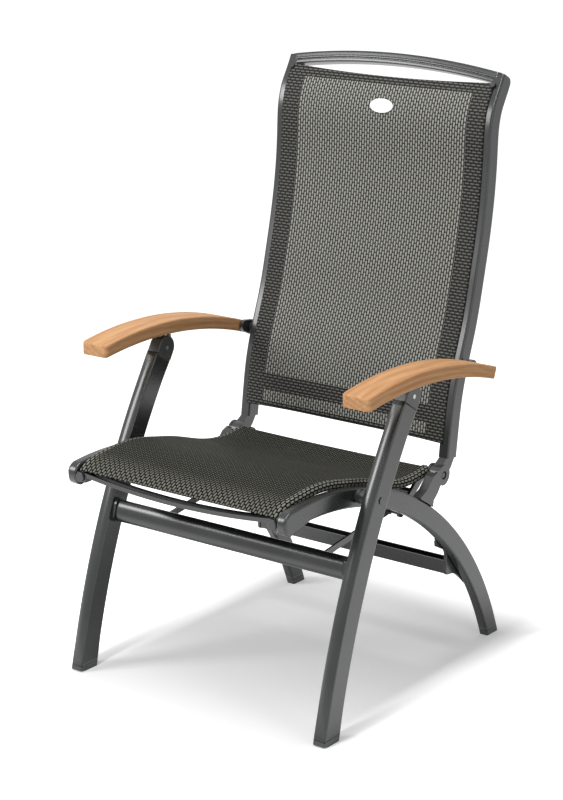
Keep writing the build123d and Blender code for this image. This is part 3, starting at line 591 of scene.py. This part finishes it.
def bright_steel():
    """Zinc-bright steel: light grey metal with fine turned lines."""
    recipe = Recipe("bright_steel")
    spot = recipe.place((1, 40, 40))
    lines = recipe.noise(spot, 60, 3, 0.6)
    turned = recipe.blend(lines, written(150, 150, 148), written(205, 204, 200))
    recipe.set(Base_Color=turned, Metallic=1.0, Roughness=lines * 0.2 + 0.22)
    recipe.bump(lines, 0.08, 0.0002)
    return recipe.finish


coat = baked_coat("anthracite_coat", (27, 29, 28), (42, 45, 44), 0.25)
bracket_coat = baked_coat("bracket_coat", (36, 37, 37), (50, 51, 51), 0.30)
dark_bolt = baked_coat("dark_bolt", (34, 35, 35), (46, 47, 47), 0.32)
wood = teak()
black_plastic = moulded_plastic("black_plastic", (44, 45, 46), 0.38)
grey_plastic = moulded_plastic("grey_plastic", (66, 69, 68), 0.34)
plate_finish = moulded_plastic("pale_plate", (226, 228, 230), 0.2)
steel = bright_steel()


# Frame pieces
def rear_arch():
    """Rear leg arch: the gap between two circles, closed in front by a round nose."""
    top_start = on_circle(arch_top_circle, y=arch_nose_back)
    centre, radius = circle_through(arch_nose[0], arch_nose[1], top_start)
    tip = angle_at(centre, arch_nose[1]) % (2 * pi)
    shares = np.sin(np.linspace(0.04, pi / 2, 9))
    nose_up = round_arc(centre, radius, tip, angle_at(centre, top_start) % (2 * pi), shares)
    nose_low = round_arc(centre, radius, tip, angle_at(centre, arch_nose[0]) % (2 * pi), shares)
    y = np.linspace(arch_nose_back, arch_low_start, 9)[1:-1]
    front_up = np.stack([y, [on_circle(arch_top_circle, y=value)[1] for value in y]], 1)
    low_start = on_circle(arch_low_circle, y=arch_low_start)
    low = np.interp(y, [arch_nose_back, arch_low_start], [arch_nose[0][1], low_start[1]])
    front_low = np.stack([y, low], 1)
    shares = np.linspace(0, 1, 70)
    lines = []
    for circle in (arch_top_circle, arch_low_circle):
        start = angle_at(circle, on_circle(circle, y=arch_low_start))
        end = angle_at(circle, on_circle(circle, z=foot_height))
        lines.append(round_arc(circle[:2], circle[2], start, end, shares))
    upper = np.concatenate([nose_up, front_up, lines[0]])
    lower = np.concatenate([nose_low, front_low, lines[1]])
    forward = upper[:, 0] - arch_nose[1][0]
    return side_rings(upper, lower, arch_width, arch_round, side_inset=edge_fall(forward, arch_round))


def bulged_ring(half_width, half_depth, radius, bulge):
    """Sections with flat sides and small round corners. Front and back bulge: depth - bulge (x/width)^2."""
    end_slope = np.arctan(2 * bulge / half_width)[:, None]
    bulge, half_depth = bulge[:, None], half_depth[:, None]
    reach = half_width - radius * (1 - np.sin(end_slope))
    across = reach * np.linspace(1, -1, 9)[None, :]
    face = half_depth - bulge * (across / half_width) ** 2
    angle = np.linspace(0, 1, 4)[None, :] * (pi / 2 - end_slope)
    corner_x = reach - radius * np.sin(end_slope) + radius * np.cos(angle)
    corner_y = face[:, :1] - radius * np.cos(end_slope) + radius * np.sin(angle)
    side_x = corner_x[:, :1]
    side_y = corner_y[:, :1] - radius * 0.5
    x = np.concatenate([side_x, corner_x[:, :-1], across, -corner_x[:, :-1][:, ::-1], -side_x], 1)
    y = np.concatenate([side_y, corner_y[:, :-1], face, corner_y[:, :-1][:, ::-1], side_y], 1)
    return np.concatenate([x, -x], 1), np.concatenate([y, -y], 1)


def front_leg():
    """Front leg: a section with a bulged front carried along a circle, cut level at the foot and square at
    the cap. The bulge fades out towards both ends, where the foot and the cap are flat."""
    centre, radius = circle_through(*leg_points)
    top = np.array(leg_points[2])
    shares = np.linspace(0, 1, 70)
    lines = []
    for reach in (radius + leg_depth / 2, radius - leg_depth / 2):
        start = np.arcsin((foot_height - centre[1]) / reach)
        start = pi - start if centre[0] > leg_points[0][0] else start
        end = angle_at(centre, top)
        end = end + np.sign(start - end) * cap_joint / radius
        lines.append(round_arc(centre, reach, start, end, shares))
    along = lengths_along(lines[0])
    fade = np.clip(np.minimum(along, along[-1] - along) / leg_fade, 0, 1)
    fade = fade ** 2 * (3 - 2 * fade)
    half_width = (leg_width[1] - leg_width[0]) / 2
    wide, deep = bulged_ring(half_width, leg_depth / 2 + leg_swell * fade, leg_round, leg_bulge * fade)
    middle, run = (lines[0] + lines[1]) / 2, (lines[0] - lines[1]) / leg_depth
    yz = middle[:, None, :] + deep[..., None] * run[:, None, :]
    return np.concatenate([(leg_width[0] + leg_width[1]) / 2 + wide[..., None], yz], -1)


def back_rail():
    """Back rail: a rounded bar behind its curved front line, up over the top bar's end to a round rear
    corner."""
    line = flowing_line(rail_line[:-2] + rail_top, 200)
    total = lengths_along(line)[-1]
    along = stations(total, 0.5, rail_top_round, 90)
    line = at_lengths(line, along)
    way = np.gradient(line, along, axis=0)
    way /= np.linalg.norm(way, axis=1)[:, None]
    behind = np.stack([way[:, 1], -way[:, 0]], 1)
    left = total - along
    return side_rings(line, line + behind * rail_depth, rail_width, rail_round,
                      side_inset=edge_fall(left, 1.5), top_inset=edge_fall(left, 2.5),
                      low_inset=edge_fall(left, rail_top_round))


def top_bar():
    """Top bar: a rounded bar with a bead and a slot along its front, carried along a shallow arc."""
    outline = eased_outline(bar_outline, bar_easing)
    ends = [(-bar_half, bar_end_height), (bar_half, bar_end_height)]
    centre, radius = circle_through(ends[0], (0, bar_middle[1]), ends[1])
    half_turn = np.arcsin(bar_reach / radius)
    arc = round_arc(centre, radius, pi / 2 + half_turn, pi / 2 - half_turn, np.linspace(0, 1, 60))
    across, tall = outline[None, :, 0], outline[None, :, 1]
    x = arc[:, :1] + 0 * across
    y = bar_middle[0] + across * cos(bar_lean) + tall * sin(bar_lean) + 0 * x
    z = arc[:, 1:] - across * sin(bar_lean) + tall * cos(bar_lean)
    return np.stack([x, y, z], -1)


def cross_tube():
    """Oval cross tube between the front legs, the same all along: (x/deep)^(2/p) + (y/tall)^(2/p) = 1, with p
    the power below."""
    power = 0.85
    along = np.linspace(-tube_half_length, tube_half_length, 40)
    angle = np.linspace(0, 2 * pi, 49)[:-1]
    deep = tube_half_deep * np.sign(np.cos(angle)) * np.abs(np.cos(angle)) ** power
    tall = tube_half_tall * np.sign(np.sin(angle)) * np.abs(np.sin(angle)) ** power
    x = along[:, None] + 0 * angle
    y = tube_middle[0] + deep * cos(tube_lean) - tall * sin(tube_lean) + 0 * x
    z = tube_middle[1] + deep * sin(tube_lean) + tall * cos(tube_lean) + 0 * x
    return np.stack([x, y, z], -1)


def armrest():
    """Wooden armrest: the gap between two circles, round at its corners in plan and at its edges."""
    shares = stations(1.0, 0.02, 0.02, 60)
    lines = []
    for circle, rear in ((arm_top_circle, arm_rear_top), (arm_low_circle, arm_rear_low)):
        start = angle_at(circle, on_circle(circle, y=arm_front))
        end = angle_at(circle, on_circle(circle, y=rear))
        lines.append(round_arc(circle[:2], circle[2], start, end, shares))
    along = lengths_along(lines[0])
    from_end = np.minimum(along, along[-1] - along)
    return side_rings(lines[0], lines[1], arm_width, arm_edge_round,
                      side_inset=edge_fall(from_end, arm_corner_round),
                      top_inset=edge_fall(from_end, arm_edge_round), low_inset=edge_fall(from_end, 2.0))


def channel_end():
    """Web that joins the cross channel to an arch: from inside the arch's low line to a free edge, which
    flows into the arch above the channel and below it. It thins out towards both ends."""
    free = flowing_line(channel_end_line, 60)
    start, end = (angle_at(arch_low_circle, channel_end_line[place]) for place in (0, -1))
    share = np.linspace(0, 1, len(free))
    inside = round_arc(arch_low_circle[:2], arch_low_circle[2] + channel_end_inside, start, end, share)
    width = (arch_width[0] - channel_end_thickness, arch_width[0] - 0.1)
    rings = side_rings(inside, free, width, channel_end_round)
    thick = (np.minimum(share, 1 - share) / 0.14).clip(0.08, 1)[:, None]
    rings[..., 0] = arch_width[0] - (arch_width[0] - rings[..., 0]) * thick
    return rings


def arm_hinge():
    """Round boss of an armrest's hinge: circles about the pivot, smaller at both rims."""
    x = hinge_boss[0] + stations(hinge_boss[1] - hinge_boss[0], hinge_boss_round, hinge_boss_round, 12)
    rim = np.minimum(x - hinge_boss[0], hinge_boss[1] - x)
    radius = (hinge_boss_radius - edge_fall(rim, hinge_boss_round))[:, None]
    turn = np.linspace(0, 2 * pi, 41)[None, :-1]
    y, z = arm_pivot[0] + radius * np.cos(turn), arm_pivot[1] + radius * np.sin(turn)
    return np.stack([x[:, None] + 0 * y, y, z], -1)


pair("rear_arch", rear_arch(), ("frame", "frame"), coat, "frame_coat", ["rear_leg_arch"])
pair("front_leg_bar", front_leg(), ("front_legs", "front_legs"), coat, "frame_coat", ["front_leg"])
pair("back_rail_bar", back_rail(), ("backrest", "backrest"), coat, "frame_coat", ["back_rail"])
pair("arm_board", armrest(), ("arm_left", "arm_right"), wood, "teak", ["armrest"])
pair("channel_end", channel_end(), ("frame", "frame"), coat, "frame_coat", [])
pair("arm_hinge", arm_hinge(), ("arm_pin_left", "arm_pin_right"), bracket_coat, "black_steel",
     ["arm_hinge_block"])
mesh_piece("top_rail", *closed_shell(top_bar()), "backrest", coat, "frame_coat", hides=["back_top_bar"])
mesh_piece("oval_tube", *closed_shell(cross_tube()), "front_legs", coat, "frame_coat",
           hides=["front_cross_tube"])


# Cloth
def cloth_grid(name, points, spread, body, finish, slot, hides):
    """Stretched sheet from a grid of points, thickened to both sides."""
    rows, columns = points.shape[:2]
    row = np.arange(rows - 1)[:, None] * columns
    here = np.arange(columns - 1)[None, :]
    near = row + here
    faces = np.stack([near, near + 1, near + columns + 1, near + columns], -1).reshape(-1, 4)
    piece = mesh_piece(name, points, faces, body, finish, slot, spread=spread, hides=hides)
    wall = piece.modifiers.new("thickness", "SOLIDIFY")
    wall.thickness = cloth_thickness * mm
    wall.offset = 0
    return piece


def back_cloth_grid():
    """Back sling: the rails' front line carried across, with a slight hollow between the rails. Its top
    corners and the middle of its lower edge rise a little, by a 12th power of the way to that edge."""
    line = flowing_line(rail_line, 400)
    along = lengths_along(line)
    low, high = np.interp(back_ends, line[:, 1], along)
    distance = np.linspace(low, high, 110)
    line = at_lengths(line, distance)
    way = np.gradient(line, axis=0)
    way /= np.linalg.norm(way, axis=1)[:, None]
    front = np.stack([-way[:, 1], way[:, 0]], 1)
    x = np.linspace(-back_half_width, back_half_width, 67)
    share = ((distance - low) / (high - low))[:, None]
    hollow = back_hollow * np.sin(pi * share) * (1 - (x / back_hollow_half) ** 2).clip(0)[None, :]
    corner = ((x / back_half_width) ** 2)[None, :]
    rise = back_corner_rise * share ** 12 * corner + back_middle_rise * (1 - share) ** 12 * (1 - corner)
    yz = line[:, None, :] + front[:, None, :] * (1.0 - hollow)[..., None] + way[:, None, :] * rise[..., None]
    points = np.concatenate([np.broadcast_to(x[None, :, None], (*hollow.shape, 1)), yz], -1)
    spread = np.stack(np.broadcast_arrays(x[None, :], (distance - low)[:, None] + rise), -1)
    return points, spread, high - low


def seat_cloth_grid():
    """Seat sling: from under one seat rail round its outside, over the seat and round the other."""
    line = flowing_line(seat_line, 120)
    along = lengths_along(line)
    way = np.gradient(line, axis=0)
    way /= np.linalg.norm(way, axis=1)[:, None]
    up = np.stack([-way[:, 1], way[:, 0]], 1)
    reach = seat_rail_radius + seat_cloth_gap
    turn = np.linspace(radians(-150), radians(90), 17)
    sleeve_x = seat_rail_middle + reach * np.cos(turn)
    sleeve_up = reach * np.sin(turn)
    flat_x = np.linspace(seat_rail_middle, -seat_rail_middle, 55)[1:-1]
    across = np.concatenate([sleeve_x, flat_x, -sleeve_x[::-1]])
    above = np.concatenate([sleeve_up, np.full(len(flat_x), reach), sleeve_up[::-1]])
    wide = lengths_along(np.stack([across, above], 1))
    share = along / along[-1]
    sag = seat_sag * (1 - (across / seat_rail_middle) ** 2).clip(0)
    above = above[None, :] - sag[None, :] * (0.6 + 0.4 * np.sin(pi * share))[:, None]
    yz = line[:, None, :] + up[:, None, :] * above[..., None]
    points = np.concatenate([np.broadcast_to(across[None, :, None], (*above.shape, 1)), yz], -1)
    spread = np.stack(np.broadcast_arrays(wide[None, :] - wide[-1] / 2, along[:, None]), -1)
    return points, spread, wide[-1], along[-1]


back_points, back_spread, back_length = back_cloth_grid()
back_panels = [(back_panel_low[0] * mm, back_panel_low[1] * mm),
               (back_panel_start * mm, (back_length - back_panel_top_gap) * mm)]
back_cloth = woven_cloth("back_cloth", back_panel_half * mm, back_panels, (152, 152, 145), (34, 34, 31),
                         (99, 98, 93), (18, 18, 17))
back_sling = cloth_grid("back_web", back_points, back_spread, "backrest", back_cloth, "back_cloth",
                        ["back_sling"])
seat_points, seat_spread, seat_wide, seat_length = seat_cloth_grid()
seat_cloth = ribbed_cloth("seat_cloth", seat_rim * mm)
seat_sling = cloth_grid("seat_web", seat_points, seat_spread, "frame", seat_cloth, "seat_cloth",
                        ["seat_sling"])

# Small parts carried over from the frame
carried = {
    coat: ["leg_pivot_bolts", "seat_front_bow", "seat_rail_left", "seat_rail_right", "rear_cross_channel",
           "tube_collars", "strap_lugs", "back_lower_bar", "yoke_bar", "yoke_lever_left",
           "yoke_lever_right", "link_strap_left", "link_strap_right", "seat_rail_knobs"],
    bracket_coat: ["hinge_bracket_left", "hinge_bracket_right", "back_knuckle_left", "back_knuckle_right",
                   "arm_bracket_left", "arm_bracket_right"],
    black_plastic: ["leg_pivot_spacers", "corner_plugs"],
    grey_plastic: ["leg_top_cap_left", "leg_top_cap_right", "rear_feet", "front_feet"],
    dark_bolt: ["back_pivot_bolts"],
    plate_finish: ["oval_plate"],
    steel: ["seat_rail_screws", "leg_top_pins", "strap_front_pins", "strap_rear_bolt_left",
            "strap_rear_bolt_right", "arm_pivot_pin_left", "arm_pivot_pin_right", "arm_end_screws_left",
            "arm_end_screws_right", "arm_slide_left", "arm_slide_right", "notch_pin_left",
            "notch_pin_right", "arm_track_left", "arm_track_right"],
}
for finish, nodes in carried.items():
    for node in nodes:
        piece = bpy.data.objects[node]
        piece.data.materials.clear()
        piece.data.materials.append(finish)


# Studio
floor_half = 14000
floor_glow = 0.24
floor_fade = (0.9, 3.2)
footprint_side = (0.28, 0.37)
footprint_rear = (0.33, 0.55)
footprint_front = (0.40, 0.60)


def studio_floor():
    """Level floor that passes into the white background. Seen from the camera it has light of its own: a
    little under the chair, and full outside its footprint and far away."""
    side = np.linspace(-floor_half, floor_half, 3)
    x, y = np.meshgrid(side, side)
    points = np.stack([x, y, 0 * x], -1)
    mesh = bpy.data.meshes.new("floor")
    faces = [(0, 1, 4, 3), (1, 2, 5, 4), (3, 4, 7, 6), (4, 5, 8, 7)]
    mesh.from_pydata(points.reshape(-1, 3) * mm, [], faces)
    floor = bpy.data.objects.new("floor", mesh)
    bpy.context.scene.collection.objects.link(floor)
    recipe = Recipe("floor_white")
    tree = recipe.tree
    path = tree.nodes.new("ShaderNodeLightPath")
    seen = Wire(recipe, path.outputs["Is Camera Ray"]).most(Wire(recipe, path.outputs["Is Glossy Ray"]))
    seen = seen.most(Wire(recipe, path.outputs["Is Transmission Ray"]))
    across, along, _ = recipe.axes()
    away = (across * across + along * along) ** 0.5
    far = away.over(*floor_fade)
    beside = across.size().over(*footprint_side)
    behind = along.over(*footprint_rear)
    ahead = (along * -1).over(*footprint_front)
    outside = beside.most(behind).most(ahead)
    recipe.set(Base_Color=recipe.blend(far, written(238, 238, 238), written(160, 160, 160)), Roughness=1.0)
    recipe.shine(0)
    recipe.shader.inputs["Emission Color"].default_value = (1, 1, 1, 1)
    glow = far.most(outside) * (1 - floor_glow) + floor_glow
    recipe.plug(recipe.shader.inputs["Emission Strength"], seen * glow)
    mesh.materials.append(recipe.finish)


def studio_world(level):
    """Even grey surroundings for soft light, white where they are seen or mirrored."""
    world = bpy.data.worlds.new("studio")
    bpy.context.scene.world = world
    world.use_nodes = True
    tree = world.node_tree
    back = tree.nodes["Background"]
    path = tree.nodes.new("ShaderNodeLightPath")
    first = tree.nodes.new("ShaderNodeMath")
    first.operation = "MAXIMUM"
    tree.links.new(path.outputs["Is Camera Ray"], first.inputs[0])
    tree.links.new(path.outputs["Is Glossy Ray"], first.inputs[1])
    second = tree.nodes.new("ShaderNodeMath")
    second.operation = "MAXIMUM"
    tree.links.new(first.outputs[0], second.inputs[0])
    tree.links.new(path.outputs["Is Transmission Ray"], second.inputs[1])
    span = tree.nodes.new("ShaderNodeMapRange")
    tree.links.new(second.outputs[0], span.inputs["Value"])
    span.inputs["To Min"].default_value = level
    span.inputs["To Max"].default_value = 1.0
    tree.links.new(span.outputs[0], back.inputs["Strength"])
    back.inputs["Color"].default_value = (1, 1, 1, 1)


def softbox(name, place, aim, width, height, watts):
    """Soft lamp that faces a point of the chair."""
    lamp = bpy.data.lights.new(name, "AREA")
    lamp.shape = "RECTANGLE"
    lamp.size, lamp.size_y, lamp.energy = width, height, watts
    holder = bpy.data.objects.new(name, lamp)
    bpy.context.scene.collection.objects.link(holder)
    holder.location = place
    holder.rotation_euler = (Vector(aim) - Vector(place)).to_track_quat("-Z", "Y").to_euler()


studio_floor()
studio_world(0.32)
softbox("left_softbox", (-2.3, -2.6, 2.3), (0, 0, 0.4), 1.3, 1.3, 66)
softbox("top_strip", (0, -1.3, 3.4), (0, -1.3, 0), 0.35, 3.4, 86)
softbox("right_softbox", (3.4, -0.9, 1.3), (0, 0, 0.5), 1.0, 1.8, 16)

camera = bpy.data.cameras.new("camera")
camera.lens = 100.4
camera.sensor_width = 36
camera.clip_end = 100
holder = bpy.data.objects.new("camera", camera)
bpy.context.scene.collection.objects.link(holder)
holder.location = (2.377, -3.205, 1.664)
holder.rotation_euler = Vector((-0.5762, 0.7688, -0.2771)).to_track_quat("-Z", "Y").to_euler()
bpy.context.scene.camera = holder
bpy.context.scene.view_settings.view_transform = "Standard"
